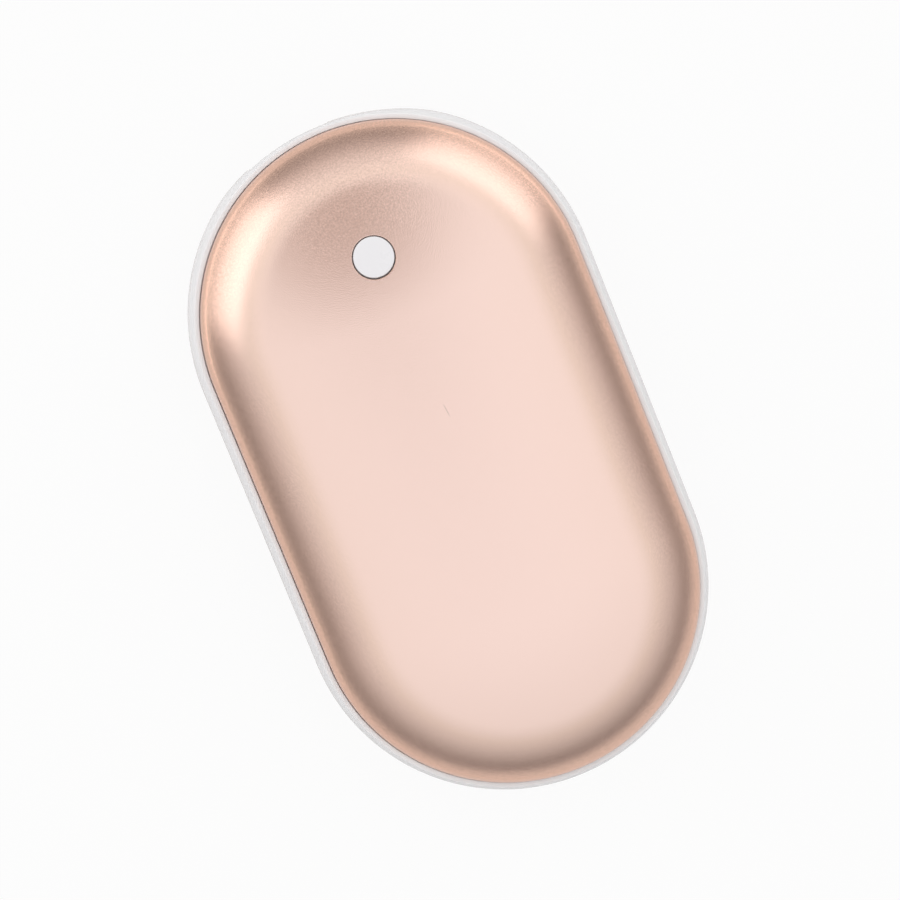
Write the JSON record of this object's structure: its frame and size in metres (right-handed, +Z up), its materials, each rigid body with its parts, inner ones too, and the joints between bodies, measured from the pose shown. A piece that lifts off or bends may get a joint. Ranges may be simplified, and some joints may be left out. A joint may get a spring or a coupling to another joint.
{
  "type": "rechargeable hand warmer",
  "caption": "Pebble-shaped rechargeable hand warmer: two domed metal shells on a glossy band, a push button near one end, and a power outlet and a charging inlet in that end.",
  "frame": {"origin": "middle of the footprint on the surface that the back shell rests on", "axes": "+Z up through the two domed faces, +Y along the length towards the end with the button and the ports, +X across, to the right when the button is at the top"},
  "size_m": [0.062, 0.1064, 0.027],
  "materials": {
    "shell_metal": "bead-blasted, champagne anodised, satin",
    "band_plastic": "polished white, faintly milky",
    "button_plastic": "satin milky white",
    "liner_plastic": "moulded grey-white",
    "guide_plastic": "moulded grey-white",
    "switch_plastic": "moulded black",
    "switch_steel": "bright rolled sheet",
    "plunger_plastic": "moulded black",
    "board_laminate": "green solder mask",
    "screw_steel": "nickel-plated",
    "port_steel": "nickel-plated sheet",
    "white_tongue": "moulded white",
    "black_tongue": "moulded black",
    "contact_gold": "gold-flashed",
    "led_resin": "clear resin over phosphor",
    "chip_resin": "moulded epoxy",
    "ferrite": "pressed ferrite",
    "capacitor_ceramic": "fired ceramic",
    "resistor_ceramic": "glazed black",
    "connector_nylon": "natural nylon",
    "tray_plastic": "moulded dark grey",
    "cell_steel": "drawn, nickel-plated",
    "sleeve_film": "shrunk film",
    "nickel": "rolled nickel",
    "insulator_paper": "fibre paper",
    "red_lead": "extruded insulation",
    "black_lead": "extruded insulation",
    "heater_film": "amber polyimide film",
    "track_foil": "etched alloy foil",
    "pad_felt": "pressed fibre felt",
    "thermistor_resin": "dipped epoxy",
    "sensor_lead": "extruded insulation"
  },
  "bodies": {
    "casing": {"front_shell": "shell_metal", "back_shell": "shell_metal", "middle_frame": "band_plastic", "front_liner": "liner_plastic", "back_liner": "liner_plastic", "button_guide": "guide_plastic", "switch_body": "switch_plastic", "switch_cover": "switch_steel", "switch_dome": "switch_steel", "switch_pins": "switch_steel", "main_board": "board_laminate", "board_screws": "screw_steel", "usb_a_shell": "port_steel", "usb_a_tongue": "white_tongue", "usb_a_contacts": "contact_gold", "micro_usb_shell": "port_steel", "micro_usb_tongue": "black_tongue", "micro_usb_contacts": "contact_gold", "indicator_leds": "led_resin", "control_chip": "chip_resin", "charge_chip": "chip_resin", "mosfets": "chip_resin", "power_inductor": "ferrite", "capacitors": "capacitor_ceramic", "resistors": "resistor_ceramic", "heater_socket": "connector_nylon", "heater_plug": "connector_nylon", "battery_tray": "tray_plastic", "tray_screws": "screw_steel", "left_cell_can": "cell_steel", "right_cell_can": "cell_steel", "left_cell_sleeve": "sleeve_film", "right_cell_sleeve": "sleeve_film", "cell_caps": "nickel", "cell_insulators": "insulator_paper", "positive_strip": "nickel", "negative_strip": "nickel", "red_battery_lead": "red_lead", "black_battery_lead": "black_lead", "front_heater_film": "heater_film", "front_heater_track": "track_foil", "front_insulation_pad": "pad_felt", "back_heater_film": "heater_film", "back_heater_track": "track_foil", "back_insulation_pad": "pad_felt", "front_heater_leads": "red_lead", "back_heater_leads": "red_lead", "front_thermistor": "thermistor_resin", "back_thermistor": "thermistor_resin", "front_thermistor_leads": "sensor_lead", "back_thermistor_leads": "sensor_lead"},
    "button": {"button_cap": "button_plastic"},
    "plunger": {"switch_plunger": "plunger_plastic"}
  },
  "joints": [
    {"name": "button_press", "type": "slide", "parent": "casing", "child": "button", "axis": [0, 0, -1], "range_m": [0, 0.0003], "stiffness_N_per_m": 5000},
    {"name": "plunger_press", "type": "slide", "parent": "casing", "child": "plunger", "axis": [0, 0, -1], "range_m": [0, 0.0003], "deforming": ["switch_dome"]}
  ],
  "couplings": [
    {"joint": "plunger_press", "follows": "button_press", "ratio": 1}
  ]
}
